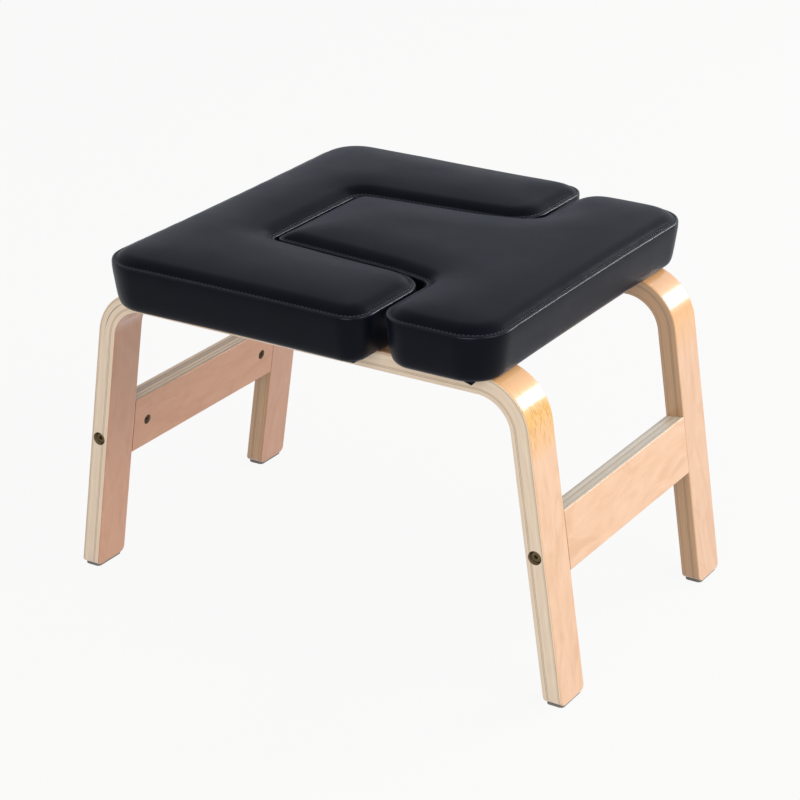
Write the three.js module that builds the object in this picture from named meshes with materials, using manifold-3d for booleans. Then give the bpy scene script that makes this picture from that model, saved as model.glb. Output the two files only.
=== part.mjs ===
// Yoga headstand stool: two bent plywood frames joined by two side rails, under a U-shaped
// shoulder pad and a T-shaped centre pad that lifts out so that the head can hang in the slot.
// Millimetres, +Z up. The origin is on the floor under the middle of the four legs. +X runs
// along the frames towards the head of the T pad, +Y from the front frame to the back one.
import * as THREE from "three";
import { mergeVertices } from "three/addons/utils/BufferGeometryUtils.js";
import Module from "manifold-3d";

const wasm = await Module();
wasm.setup();

// Frames of bent plywood
const frame_height = 320; // floor to the top face
const foot_spread = 571; // between the outer faces of the legs, on the floor
const frame_depth = 340; // between the outer edges of the two frames
const ply_thickness = 20;
const strip_width = 45;
const bend_radius = 36; // inside the bend
const leg_splay_degrees = 8.4;
const edge_round = 1.5; // along the sanded edges of the plywood
const foot_corner_round = 6;
const foot_pad_thickness = 2.5;
const foot_pad_width = 18;
const foot_pad_length = 38;
const foot_pad_round = 4;

// Side rails
const rail_height = 60;
const rail_centre_height = 151; // above the floor
const joint_gap = 0.3;

// Joint hardware in each rail end
const frame_bolt_diameter = 6;
const frame_bolt_past_nut = 6; // of its end, past the middle of the barrel nut
const frame_bolt_head_diameter = 12.4;
const frame_bolt_head_height = 4;
const frame_bolt_hex = 4;
const frame_bolt_hex_depth = 2.6;
const counterbore_diameter = 14;
const counterbore_depth = 7;
const bolt_hole_diameter = 7;
const barrel_nut_diameter = 10;
const barrel_nut_setback = 22; // from the end of the rail
const barrel_nut_recess = 1.7; // of its slotted end, under the inner face of the rail
const barrel_hole_wall = 4; // left between its hole and the outer face of the rail
const barrel_slot_width = 1.4;
const barrel_slot_depth = 1.6;
const dowel_diameter = 8;
const dowel_length = 34;
const dowel_offset = 19; // above and below the bolt
const dowel_depth_in_leg = 16;
const dowel_chamfer = 1;
const dowel_end_clearance = 0.5;
const bolt_chamfer = 0.8;
const bolt_head_round = 1.2;
const drill_clearance = 0.6; // on a diameter
const cut_overrun = 2;

// Pads
const seat_offset = 7; // the pads sit this far towards +X
const rest_gap = 0.3; // between the tops of the frames and the pads
const pad_length = 426;
const u_pad_width = 436;
const t_pad_width = 404;
const arm_end_from_left = 300;
const head_gap = 6; // between the arm ends and the head of the T
const stem_end_gap = 5;
const stem_side_gap = 5;
const slot_end_from_left = 107;
const slot_end_width = 160;
const slot_mouth_width = 194;
const slot_end_radius = 14;
const slot_mouth_radius = 36;
const stem_end_radius = 10;
const stem_flare_start_from_left = 256;
const stem_flare_width = 200;
const stem_bend_radius = 90;
const armpit_radius = 16;
const left_corner_radius = 42;
const arm_corner_radius = 24;
const head_left_corner_radius = 32;
const head_right_corner_radius = 38;
const pad_side_height = 47; // board and foam, up to the top seam
const pad_crown = 14;
const crown_run = 48; // from the seam to the flat of the crown
const bottom_draw_in = 4;
const side_bulge = 1;
const cover_turn = 3; // rounding where the cover turns under the board
const board_thickness = 12;
const board_inset = 9; // inside the outline of the top seam
const board_clearance = 0.3;
const under_cloth_thickness = 1;
const under_cloth_inset = 14;
const waist_height_share = 0.4;
const bulge_height_share = 0.82;
const crown_ring_shares = [0.05, 0.15, 0.34, 0.62, 1];

// Bolts that hold the U pad down
const pad_bolt_from_left = [56, 254];
const pad_bolt_diameter = 6;
const pad_bolt_end_depth = 1; // of its end, under the top of the board
const pad_bolt_head_diameter = 11;
const pad_bolt_head_height = 3.6;
const pad_bolt_hex = 4;
const pad_bolt_hex_depth = 2.2;
const washer_diameter = 18;
const washer_thickness = 1.5;
const t_nut_flange_diameter = 19;
const t_nut_flange_thickness = 1.5;
const t_nut_barrel_diameter = 8;
const t_nut_end_height = 2; // of its lower end, over the underside of the board

// Battens under the pads
const batten_height = 15;
const cleat_width = 15;
const cleat_length = 88;
const cleat_from_arm_end = 14;
const cleat_side_gap = 2; // to the inner edge of the frame
const ledge_width = 80;
const ledge_length = 150;
const ledge_under_stem = 40;
const ledge_screw_spacing = 90;
const screw_head_diameter = 7.6;
const screw_head_height = 2.4;
const screw_diameter = 4;
const screw_grip = 7; // in the board
const screw_point_length = 5;
const screw_inset = 16;
const screw_slot_width = 1.1;
const screw_slot_depth = 0.9;

// Facets
const round_sides = 18;
const bend_steps = 5;
const corner_steps = 5;
const edge_steps = 2;
const least_radius = 1.2; // of a corner moved inwards past its own radius

const splay = THREE.MathUtils.degToRad(leg_splay_degrees);
const half_depth = frame_depth / 2;
const inner_half_depth = half_depth - strip_width;
const seat_left = seat_offset - pad_length / 2;
const seat_right = seat_offset + pad_length / 2;
const seat_bottom = frame_height + rest_gap;
const board_bottom = seat_bottom + under_cloth_thickness;
const board_top = board_bottom + board_thickness;
const batten_top = seat_bottom - joint_gap;
const frame_underside = frame_height - ply_thickness;
const washer_bottom = frame_underside - joint_gap - washer_thickness;
const strip_middle = half_depth - strip_width / 2;
const bolt_seat = half_depth - counterbore_depth;
const nut_middle = inner_half_depth - barrel_nut_setback;
const frame_bolt_length = bolt_seat - nut_middle + frame_bolt_past_nut;
const barrel_hole_depth = ply_thickness - barrel_hole_wall;
const barrel_nut_length = barrel_hole_depth - barrel_nut_recess - joint_gap;
const pad_bolt_length = board_top - pad_bolt_end_depth - washer_bottom;
const t_nut_length = board_thickness - t_nut_end_height;
const screw_length = board_bottom + screw_grip - (batten_top - batten_height);

const finish = (color, roughness, metalness = 0) =>
  new THREE.MeshStandardMaterial({ color, roughness, metalness });
const birch = finish(0xe8c89a, 0.32);
const board_ply = finish(0xc9a878, 0.7);
const beech = finish(0xd9b98c, 0.6);
const black_leather = finish(0x26272b, 0.42);
const black_cloth = finish(0x17171a, 0.95);
const grey_felt = finish(0x8d8c88, 0.95);
const zinc = finish(0xb4b6b8, 0.35, 1);
const black_steel = finish(0x2b2b2d, 0.4, 1);

// A geometry as a solid, with its equal vertices joined
function solidOf(geometry, matrix) {
  const bare = geometry.clone();
  for (const name of Object.keys(bare.attributes)) {
    if (name !== "position") bare.deleteAttribute(name);
  }
  if (matrix) bare.applyMatrix4(matrix);
  const merged = mergeVertices(bare);
  return new wasm.Manifold(
    new wasm.Mesh({
      numProp: 3,
      vertProperties: new Float32Array(merged.attributes.position.array),
      triVerts: new Uint32Array(merged.index.array),
    }),
  );
}

function geometryOf(solid) {
  const made = solid.getMesh();
  const geometry = new THREE.BufferGeometry();
  const vertices = new Float32Array(made.vertProperties);
  geometry.setAttribute("position", new THREE.BufferAttribute(vertices, 3));
  geometry.setIndex(new THREE.BufferAttribute(new Uint32Array(made.triVerts), 1));
  geometry.computeVertexNormals();
  return geometry;
}

function piece(name, geometry, material, parent) {
  const mesh = new THREE.Mesh(geometry, material);
  mesh.name = name;
  parent.add(mesh);
  return mesh;
}

// A turned form about +Z, from the [radius, z] points of its section
function turning(section) {
  const profile = section.map(([radius, z]) => new THREE.Vector2(radius, z));
  return new THREE.LatheGeometry(profile, round_sides).rotateX(Math.PI / 2);
}

// A round bar along +Z from z = 0, with a chamfer at each end where one is given
function bar(diameter, length, chamfer = 0) {
  const r = diameter / 2;
  const lower = chamfer ? [[r - chamfer, 0], [r, chamfer]] : [[r, 0]];
  const upper = chamfer ? [[r, length - chamfer], [r - chamfer, length]] : [[r, length]];
  return turning([[0, 0], ...lower, ...upper, [0, length]]);
}

const moved = (x, y, z) => new THREE.Matrix4().makeTranslation(x, y, z);
const placed = (parent, x, y, z) => parent.clone().multiply(moved(x, y, z));
const turned_to_y = new THREE.Matrix4().makeRotationX(-Math.PI / 2); // +Z of a bar becomes +Y
const turned_to_x = new THREE.Matrix4().makeRotationY(Math.PI / 2); // +Z of a bar becomes +X

// The outer face of a right leg at a height, and any face or line inside it by its depth
const leg_slope = Math.tan(splay);
const leg_x = (z, depth) => foot_spread / 2 - z * leg_slope - depth / Math.cos(splay);
const leg_middle_x = (z) => leg_x(z, ply_thickness / 2);

// Frame of reference of a rail: local X through its thickness, outwards, local Z along the leg
function railMatrix(side) {
  const turn = new THREE.Matrix4().makeRotationY(-side * splay);
  return moved(side * leg_middle_x(rail_centre_height), 0, rail_centre_height).multiply(turn);
}

// Side view of the bent strip: up its outer face from the right foot to the left one, and back
// along its inner face
function bentStripShape() {
  const outer_radius = bend_radius + ply_thickness;
  const centre_z = frame_height - outer_radius;
  const centre_x = leg_x(centre_z, outer_radius);
  const foot_z = foot_pad_thickness - cut_overrun;
  const shape = new THREE.Shape();
  shape.moveTo(leg_x(foot_z, 0), foot_z);
  shape.lineTo(centre_x + outer_radius * Math.cos(splay), centre_z + outer_radius * Math.sin(splay));
  shape.absarc(centre_x, centre_z, outer_radius, splay, Math.PI / 2, false);
  shape.absarc(-centre_x, centre_z, outer_radius, Math.PI / 2, Math.PI - splay, false);
  shape.lineTo(-leg_x(foot_z, 0), foot_z);
  shape.lineTo(-leg_x(foot_z, ply_thickness), foot_z);
  shape.absarc(-centre_x, centre_z, bend_radius, Math.PI - splay, Math.PI / 2, true);
  shape.absarc(centre_x, centre_z, bend_radius, Math.PI / 2, splay, true);
  shape.lineTo(leg_x(foot_z, ply_thickness), foot_z);
  return shape;
}

// A bentwood frame: front when side is -1, back when side is 1
function bentwoodFrame(side) {
  const strip = new THREE.ExtrudeGeometry(bentStripShape(), {
    depth: strip_width - 2 * edge_round,
    curveSegments: bend_steps,
    bevelThickness: edge_round,
    bevelSize: edge_round,
    bevelOffset: -edge_round,
    bevelSegments: edge_steps,
  });
  strip.translate(0, 0, edge_round - strip_width / 2);
  strip.rotateX(Math.PI / 2);
  const middle_y = side * strip_middle;

  // The foot of each leg has round corners across its width and a flat cut end
  const half = strip_width / 2;
  const r = foot_corner_round;
  const bottom = foot_pad_thickness;
  const end_view = new THREE.Shape();
  end_view.moveTo(-half - cut_overrun, frame_height + cut_overrun);
  end_view.lineTo(-half - cut_overrun, bottom + r);
  end_view.lineTo(-half, bottom + r);
  end_view.absarc(-half + r, bottom + r, r, Math.PI, (3 * Math.PI) / 2, false);
  end_view.absarc(half - r, bottom + r, r, -Math.PI / 2, 0, false);
  end_view.lineTo(half + cut_overrun, bottom + r);
  end_view.lineTo(half + cut_overrun, frame_height + cut_overrun);
  const trim = new THREE.ExtrudeGeometry(end_view, {
    depth: foot_spread + 2 * cut_overrun,
    bevelEnabled: false,
    curveSegments: corner_steps,
  });
  trim.translate(0, 0, -foot_spread / 2 - cut_overrun);
  const across = new THREE.Vector3(0, 1, 0);
  const up_leg = new THREE.Vector3(0, 0, 1);
  const along = new THREE.Vector3(1, 0, 0);
  const upright = new THREE.Matrix4().makeBasis(across, up_leg, along);
  let made = solidOf(strip).intersect(solidOf(trim, upright));
  made = solidOf(geometryOf(made), moved(0, middle_y, 0));

  for (const leg of [-1, 1]) {
    const rail = railMatrix(leg);
    const drill = (diameter, from_y, length, z) => {
      const hole = bar(diameter, length);
      const y = side > 0 ? from_y - length : -from_y;
      return solidOf(hole, placed(rail, 0, y, z).multiply(turned_to_y));
    };
    const hole_end = half_depth + cut_overrun;
    made = made.subtract(drill(counterbore_diameter, hole_end, counterbore_depth + cut_overrun, 0));
    made = made.subtract(drill(bolt_hole_diameter, hole_end, strip_width + 2 * cut_overrun, 0));
    const dowel_hole_end = inner_half_depth + dowel_depth_in_leg + dowel_end_clearance;
    const dowel_hole_length = dowel_depth_in_leg + dowel_end_clearance + cut_overrun;
    for (const up of [-1, 1]) {
      made = made.subtract(
        drill(dowel_diameter + drill_clearance, dowel_hole_end, dowel_hole_length, up * dowel_offset),
      );
    }
  }
  for (const from_left of pad_bolt_from_left) {
    const hole = bar(bolt_hole_diameter, ply_thickness + 2 * cut_overrun);
    const at = moved(seat_left + from_left, middle_y, frame_underside - cut_overrun);
    made = made.subtract(solidOf(hole, at));
  }
  return geometryOf(made);
}

// A socket-head bolt along +Z: the head is under z = 0 and the shank over it
function socketBolt(size) {
  const head = size.head_diameter / 2;
  const shank = size.diameter / 2;
  const turned = turning([
    [0, -size.head_height],
    [head - bolt_head_round, -size.head_height],
    [head, bolt_head_round - size.head_height],
    [head, 0],
    [shank, 0],
    [shank, size.length - bolt_chamfer],
    [shank - bolt_chamfer, size.length],
    [0, size.length],
  ]);
  const hex_radius = size.hex / Math.sqrt(3);
  const hex_depth = size.hex_depth + cut_overrun;
  const hex = new THREE.CylinderGeometry(hex_radius, hex_radius, hex_depth, 6);
  const hex_z = size.hex_depth - size.head_height - hex_depth / 2;
  const socket = solidOf(hex.rotateX(Math.PI / 2), moved(0, 0, hex_z));
  return geometryOf(solidOf(turned).subtract(socket));
}

// A bored disc or tube along +Z, from the points round its section
const ring = (points) => turning([...points, points[0]]);

const washer = () => {
  const bore = (pad_bolt_diameter + drill_clearance) / 2;
  const rim = washer_diameter / 2;
  return ring([[bore, 0], [rim, 0], [rim, washer_thickness], [bore, washer_thickness]]);
};

// A T-nut with its flange on top, at z = 0
const tNut = () => {
  const bore = (pad_bolt_diameter + drill_clearance) / 2;
  const barrel = t_nut_barrel_diameter / 2;
  const rim = t_nut_flange_diameter / 2;
  return ring([
    [bore, -t_nut_length],
    [barrel, -t_nut_length],
    [barrel, -t_nut_flange_thickness],
    [rim, -t_nut_flange_thickness],
    [rim, 0],
    [bore, 0],
  ]);
};

// A countersunk wood screw along +Z, with its slotted head at z = 0
function woodScrew() {
  const head = screw_head_diameter / 2;
  const shank = screw_diameter / 2;
  const turned = turning([
    [0, 0],
    [head, 0],
    [shank, screw_head_height],
    [shank, screw_length - screw_point_length],
    [0, screw_length],
  ]);
  const slot = new THREE.BoxGeometry(
    screw_head_diameter + cut_overrun,
    screw_slot_width,
    screw_slot_depth + cut_overrun,
  );
  const slot_z = (screw_slot_depth - cut_overrun) / 2;
  return geometryOf(solidOf(turned).subtract(solidOf(slot, moved(0, 0, slot_z))));
}

// The hole that a wood screw is driven into, countersunk at z = 0
function screwHole() {
  const head = (screw_head_diameter + drill_clearance) / 2;
  const shank = (screw_diameter + drill_clearance) / 2;
  const end = screw_length + drill_clearance;
  return turning([
    [0, -cut_overrun],
    [head, -cut_overrun],
    [head, 0],
    [shank, screw_head_height],
    [shank, end],
    [0, end],
  ]);
}

function roundedRectangle(width, height, r) {
  const shape = new THREE.Shape();
  shape.moveTo(width / 2, r - height / 2);
  shape.absarc(width / 2 - r, height / 2 - r, r, 0, Math.PI / 2, false);
  shape.absarc(r - width / 2, height / 2 - r, r, Math.PI / 2, Math.PI, false);
  shape.absarc(r - width / 2, r - height / 2, r, Math.PI, (3 * Math.PI) / 2, false);
  shape.absarc(width / 2 - r, r - height / 2, r, (3 * Math.PI) / 2, 2 * Math.PI, false);
  return shape;
}

// A side rail in its own frame of reference, bored at both ends for bolt, nut and dowels
function sideRail() {
  const length = 2 * (inner_half_depth - joint_gap);
  const section = roundedRectangle(ply_thickness, rail_height, edge_round);
  const board = new THREE.ExtrudeGeometry(section, {
    depth: length,
    bevelEnabled: false,
    curveSegments: edge_steps,
  });
  board.translate(0, 0, -length / 2).rotateX(Math.PI / 2);
  let made = solidOf(board);
  for (const end of [-1, 1]) {
    const drill = (diameter, deepest_y, z) => {
      const hole_length = inner_half_depth + cut_overrun - deepest_y;
      const y = end > 0 ? deepest_y : -deepest_y - hole_length;
      return solidOf(bar(diameter, hole_length), moved(0, y, z).multiply(turned_to_y));
    };
    made = made.subtract(drill(bolt_hole_diameter, bolt_seat - frame_bolt_length - cut_overrun, 0));
    const dowel_end = inner_half_depth + dowel_depth_in_leg - dowel_length - dowel_end_clearance;
    for (const up of [-1, 1]) {
      made = made.subtract(drill(dowel_diameter + drill_clearance, dowel_end, up * dowel_offset));
    }
    const nut_hole = bar(barrel_nut_diameter + drill_clearance, barrel_hole_depth + cut_overrun);
    const nut_hole_x = -ply_thickness / 2 - cut_overrun;
    const nut_hole_at = moved(nut_hole_x, end * nut_middle, 0).multiply(turned_to_x);
    made = made.subtract(solidOf(nut_hole, nut_hole_at));
  }
  return geometryOf(made);
}

// A barrel nut along +X, with a driver slot at its inner end and the bolt's bore across it
function barrelNut() {
  const body = solidOf(bar(barrel_nut_diameter, barrel_nut_length, bolt_chamfer), turned_to_x);
  const bore_x = ply_thickness / 2 - barrel_nut_recess;
  const reach = barrel_nut_diameter + cut_overrun;
  const bore = solidOf(
    bar(frame_bolt_diameter + drill_clearance, reach),
    moved(bore_x, -reach / 2, 0).multiply(turned_to_y),
  );
  const slot = new THREE.BoxGeometry(barrel_slot_depth + cut_overrun, reach, barrel_slot_width);
  const slot_x = (barrel_slot_depth - cut_overrun) / 2;
  return geometryOf(body.subtract(bore).subtract(solidOf(slot, moved(slot_x, 0, 0))));
}

// A closed outline from corners listed anticlockwise, moved inwards by inset, with round corners
function outline(corners, inset) {
  const count = corners.length;
  const sides = corners.map((corner, i) => {
    const next = corners[(i + 1) % count];
    const along = new THREE.Vector2(next.x - corner.x, next.y - corner.y).normalize();
    const inwards = new THREE.Vector2(-along.y, along.x);
    const start = new THREE.Vector2(corner.x, corner.y).addScaledVector(inwards, inset);
    return { along, inwards, start };
  });
  const points = [];
  corners.forEach((corner, i) => {
    const before = sides[(i + count - 1) % count];
    const after = sides[i];
    const turn = before.along.cross(after.along);
    const outwards = Math.sign(turn);
    const gap = after.start.clone().sub(before.start);
    const tip = before.start.clone().addScaledVector(before.along, gap.cross(after.along) / turn);
    const radius = Math.max(corner.radius - outwards * inset, least_radius);
    const angle = Math.asin(Math.min(1, Math.abs(turn)));
    const centre = tip
      .clone()
      .addScaledVector(before.along, -radius * Math.tan(angle / 2))
      .addScaledVector(before.inwards, outwards * radius);
    const from = Math.atan2(-outwards * before.inwards.y, -outwards * before.inwards.x);
    for (let k = 0; k <= corner_steps; k++) {
      const at = from + (outwards * angle * k) / corner_steps;
      const arm = new THREE.Vector2(Math.cos(at), Math.sin(at));
      points.push(arm.multiplyScalar(radius).add(centre));
    }
  });
  return points;
}

const plate = (points, thickness) =>
  new THREE.ExtrudeGeometry(new THREE.Shape(points), { depth: thickness, bevelEnabled: false });

// A padded, crowned form: rings of one outline from the turn under the board to the crown
function cushion(corners) {
  const rings = [
    [bottom_draw_in + cover_turn, 0],
    [bottom_draw_in, cover_turn],
    [bottom_draw_in / 2, pad_side_height * waist_height_share],
    [-side_bulge, pad_side_height * bulge_height_share],
    [0, pad_side_height],
    ...crown_ring_shares.map((share) => [
      crown_run * share,
      pad_side_height + pad_crown * Math.sqrt(1 - (1 - share) ** 2),
    ]),
  ].map(([inset, z]) => ({ points: outline(corners, inset), z }));
  const count = rings[0].points.length;
  const vertices = rings.flatMap(({ points, z }) => points.flatMap(({ x, y }) => [x, y, z]));
  const faces = [];
  for (let k = 0; k + 1 < rings.length; k++) {
    for (let i = 0; i < count; i++) {
      const a = k * count + i;
      const b = k * count + ((i + 1) % count);
      faces.push(a, b, b + count, a, b + count, a + count);
    }
  }
  const top = (rings.length - 1) * count;
  for (const [a, b, c] of THREE.ShapeUtils.triangulateShape(rings[0].points, [])) {
    faces.push(c, b, a);
  }
  for (const [a, b, c] of THREE.ShapeUtils.triangulateShape(rings.at(-1).points, [])) {
    faces.push(top + a, top + b, top + c);
  }
  const geometry = new THREE.BufferGeometry();
  geometry.setAttribute("position", new THREE.Float32BufferAttribute(vertices, 3));
  geometry.setIndex(faces);
  const pocket_outline = outline(corners, board_inset - board_clearance);
  const pocket = plate(pocket_outline, board_thickness + joint_gap + cut_overrun);
  return geometryOf(solidOf(geometry).subtract(solidOf(pocket, moved(0, 0, -cut_overrun))));
}

// The board inside a cushion, and the cloth stapled under it
const padBoard = (corners) =>
  solidOf(plate(outline(corners, board_inset), board_thickness), moved(0, 0, board_bottom));
const padCloth = (corners) =>
  solidOf(plate(outline(corners, under_cloth_inset), under_cloth_thickness), moved(0, 0, seat_bottom));

// Corner points of the two pads, front side first, then the same mirrored to the back
function mirrored(front_corners) {
  const back_corners = front_corners.map((corner) => ({ ...corner, y: -corner.y })).reverse();
  return [...front_corners, ...back_corners];
}
const corner = (x, y, radius) => ({ x, y, radius });

const arm_end = seat_left + arm_end_from_left;
const slot_end = seat_left + slot_end_from_left;
const head_left = arm_end + head_gap;
const stem_end = slot_end + stem_end_gap;
const slot_half_width = (x) =>
  slot_end_width / 2 +
  (((slot_mouth_width - slot_end_width) / 2) * (x - slot_end)) / (arm_end - slot_end);
const stem_half_width = (x) => slot_half_width(x) - stem_side_gap;
const flare_start = seat_left + stem_flare_start_from_left;

// Anticlockwise from above, so the front corners run from left to right, and in towards the slot
const u_pad_corners = mirrored([
  corner(seat_left, -u_pad_width / 2, left_corner_radius),
  corner(arm_end, -u_pad_width / 2, arm_corner_radius),
  corner(arm_end, -slot_mouth_width / 2, slot_mouth_radius),
  corner(slot_end, -slot_end_width / 2, slot_end_radius),
]);
const t_pad_corners = mirrored([
  corner(stem_end, -stem_half_width(stem_end), stem_end_radius),
  corner(flare_start, -stem_half_width(flare_start), stem_bend_radius),
  corner(head_left, -stem_flare_width / 2, armpit_radius),
  corner(head_left, -t_pad_width / 2, head_left_corner_radius),
  corner(seat_right, -t_pad_width / 2, head_right_corner_radius),
]);

const stool = new THREE.Group();
stool.name = "yoga_headstand_stool";
const ends = [
  { side: -1, name: "front" },
  { side: 1, name: "back" },
];
const flanks = [
  { side: -1, name: "left" },
  { side: 1, name: "right" },
];
const levels = [
  { up: -1, name: "lower" },
  { up: 1, name: "upper" },
];

// Frames, side rails and the hardware of their joints
for (const end of ends) {
  piece(end.name + "_bentwood_frame", bentwoodFrame(end.side), birch, stool);
}
const frame_bolt = socketBolt({
  diameter: frame_bolt_diameter,
  length: frame_bolt_length,
  head_diameter: frame_bolt_head_diameter,
  head_height: frame_bolt_head_height,
  hex: frame_bolt_hex,
  hex_depth: frame_bolt_hex_depth,
});
const foot_pad_shape = roundedRectangle(foot_pad_width, foot_pad_length, foot_pad_round);
const foot_pad = new THREE.ExtrudeGeometry(foot_pad_shape, {
  depth: foot_pad_thickness,
  bevelEnabled: false,
  curveSegments: corner_steps,
});
for (const flank of flanks) {
  // Built for the right side: the left side is the same, turned half round
  const turned = new THREE.Group();
  if (flank.side < 0) turned.rotation.z = Math.PI;
  const half = new THREE.Group();
  half.position.set(leg_middle_x(rail_centre_height), 0, rail_centre_height);
  half.rotation.y = -splay;
  turned.add(half);
  stool.add(turned);
  piece(flank.name + "_side_rail", sideRail(), birch, half);
  for (const end of ends) {
    const y_side = end.side * flank.side;
    const corner_name = end.name + "_" + flank.name;
    const bolt = piece(corner_name + "_frame_bolt", frame_bolt, black_steel, half);
    bolt.rotation.x = (y_side * Math.PI) / 2;
    bolt.position.y = y_side * bolt_seat;
    const nut = piece(corner_name + "_barrel_nut", barrelNut(), zinc, half);
    nut.position.x = barrel_nut_recess - ply_thickness / 2;
    nut.position.y = y_side * nut_middle;
    for (const level of levels) {
      const name = corner_name + "_" + level.name + "_dowel";
      const dowel = piece(name, bar(dowel_diameter, dowel_length, dowel_chamfer), beech, half);
      dowel.rotation.x = (y_side * Math.PI) / 2;
      dowel.position.y = y_side * (inner_half_depth + dowel_depth_in_leg);
      dowel.position.z = level.up * dowel_offset;
    }
    const foot = piece(corner_name + "_foot_pad", foot_pad, grey_felt, stool);
    foot.position.x = flank.side * leg_middle_x(foot_pad_thickness);
    foot.position.y = end.side * strip_middle;
  }
}

// U pad: cushion, board, cloth under it, and four bolts up through the frames
const pad_bolt = socketBolt({
  diameter: pad_bolt_diameter,
  length: pad_bolt_length,
  head_diameter: pad_bolt_head_diameter,
  head_height: pad_bolt_head_height,
  hex: pad_bolt_hex,
  hex_depth: pad_bolt_hex_depth,
});
const screw = woodScrew();
let u_board = padBoard(u_pad_corners);
let u_cloth = padCloth(u_pad_corners);
for (const [k, from_left] of pad_bolt_from_left.entries()) {
  for (const end of ends) {
    const x = seat_left + from_left;
    const y = end.side * strip_middle;
    const name = end.name + "_" + flanks[k].name;
    const washer_piece = piece(name + "_pad_washer", washer(), zinc, stool);
    washer_piece.position.set(x, y, washer_bottom);
    const bolt = piece(name + "_pad_bolt", pad_bolt, black_steel, stool);
    bolt.position.set(x, y, washer_bottom);
    const nut = piece(name + "_t_nut", tNut(), zinc, stool);
    nut.position.set(x, y, board_top);
    const recess_depth = t_nut_flange_thickness + joint_gap;
    const recess = bar(t_nut_flange_diameter + drill_clearance, recess_depth + cut_overrun);
    const barrel_hole = bar(t_nut_barrel_diameter + drill_clearance, board_thickness + 2 * cut_overrun);
    u_board = u_board.subtract(solidOf(recess, moved(x, y, board_top - recess_depth)));
    u_board = u_board.subtract(solidOf(barrel_hole, moved(x, y, board_bottom - cut_overrun)));
    const cloth_hole = bar(bolt_hole_diameter, under_cloth_thickness + 2 * cut_overrun);
    u_cloth = u_cloth.subtract(solidOf(cloth_hole, moved(x, y, seat_bottom - cut_overrun)));
  }
}
const u_cushion = piece("u_pad_cushion", cushion(u_pad_corners), black_leather, stool);
u_cushion.position.z = board_bottom;

// Ledge under the closed end of the slot, which carries the tip of the stem
const ledge_left = slot_end + ledge_under_stem - ledge_width;
const batten_bottom = batten_top - batten_height;
let ledge = solidOf(
  new THREE.BoxGeometry(ledge_width, ledge_length, batten_height),
  moved(ledge_left + ledge_width / 2, 0, batten_top - batten_height / 2),
);
for (const end of ends) {
  const y = (end.side * ledge_screw_spacing) / 2;
  const at = moved(ledge_left + screw_inset, y, batten_bottom);
  const hole = solidOf(screwHole(), at);
  ledge = ledge.subtract(hole);
  u_board = u_board.subtract(hole);
  u_cloth = u_cloth.subtract(hole);
  piece(end.name + "_ledge_screw", screw, zinc, stool).position.setFromMatrixPosition(at);
}
piece("u_pad_board", geometryOf(u_board), board_ply, stool);
piece("u_pad_under_cloth", geometryOf(u_cloth), black_cloth, stool);
piece("stem_support_ledge", geometryOf(ledge), beech, stool);

// T pad, which lifts out: cushion, board, cloth and two cleats that drop between the frames
const t_pad = new THREE.Group();
t_pad.name = "t_pad";
stool.add(t_pad);
let t_board = padBoard(t_pad_corners);
let t_cloth = padCloth(t_pad_corners);
const cleat_left = arm_end + cleat_from_arm_end;
for (const end of ends) {
  const y = end.side * (inner_half_depth - cleat_side_gap - cleat_width / 2);
  let cleat = solidOf(
    new THREE.BoxGeometry(cleat_length, cleat_width, batten_height),
    moved(cleat_left + cleat_length / 2, y, batten_top - batten_height / 2),
  );
  for (const flank of flanks) {
    const x = cleat_left + cleat_length / 2 + flank.side * (cleat_length / 2 - screw_inset);
    const at = moved(x, y, batten_bottom);
    const hole = solidOf(screwHole(), at);
    cleat = cleat.subtract(hole);
    t_board = t_board.subtract(hole);
    t_cloth = t_cloth.subtract(hole);
    const name = end.name + "_" + flank.name + "_cleat_screw";
    piece(name, screw, zinc, t_pad).position.setFromMatrixPosition(at);
  }
  piece(end.name + "_cleat", geometryOf(cleat), beech, t_pad);
}
const t_cushion = piece("t_pad_cushion", cushion(t_pad_corners), black_leather, t_pad);
t_cushion.position.z = board_bottom;
piece("t_pad_board", geometryOf(t_board), board_ply, t_pad);
piece("t_pad_under_cloth", geometryOf(t_cloth), black_cloth, t_pad);

export default stool;
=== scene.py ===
# Yoga headstand stool: two bent plywood frames joined by two side rails, under a U-shaped pad
# whose arms carry the shoulders and a loose T-shaped pad that fills the head slot between them.
# Metres, +Z up, in the stool's own frame: the origin is on the floor under its middle.
import math

import bmesh
import bpy
import numpy as np
from mathutils import Matrix, Vector, geometry, noise


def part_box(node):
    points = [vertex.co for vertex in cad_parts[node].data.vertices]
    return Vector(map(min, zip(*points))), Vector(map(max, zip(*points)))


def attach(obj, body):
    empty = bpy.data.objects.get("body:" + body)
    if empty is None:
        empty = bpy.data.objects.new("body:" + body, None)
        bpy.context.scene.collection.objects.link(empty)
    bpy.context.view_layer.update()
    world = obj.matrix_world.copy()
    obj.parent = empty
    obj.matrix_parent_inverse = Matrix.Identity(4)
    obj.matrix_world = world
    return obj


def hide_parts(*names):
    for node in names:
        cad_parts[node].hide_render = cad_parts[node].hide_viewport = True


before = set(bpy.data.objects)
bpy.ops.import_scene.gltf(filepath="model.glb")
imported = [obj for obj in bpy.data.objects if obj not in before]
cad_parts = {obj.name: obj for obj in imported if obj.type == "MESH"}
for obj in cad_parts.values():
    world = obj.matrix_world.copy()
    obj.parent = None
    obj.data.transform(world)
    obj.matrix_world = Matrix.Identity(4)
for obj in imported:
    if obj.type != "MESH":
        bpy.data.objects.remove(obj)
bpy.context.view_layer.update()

scene = bpy.context.scene

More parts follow.
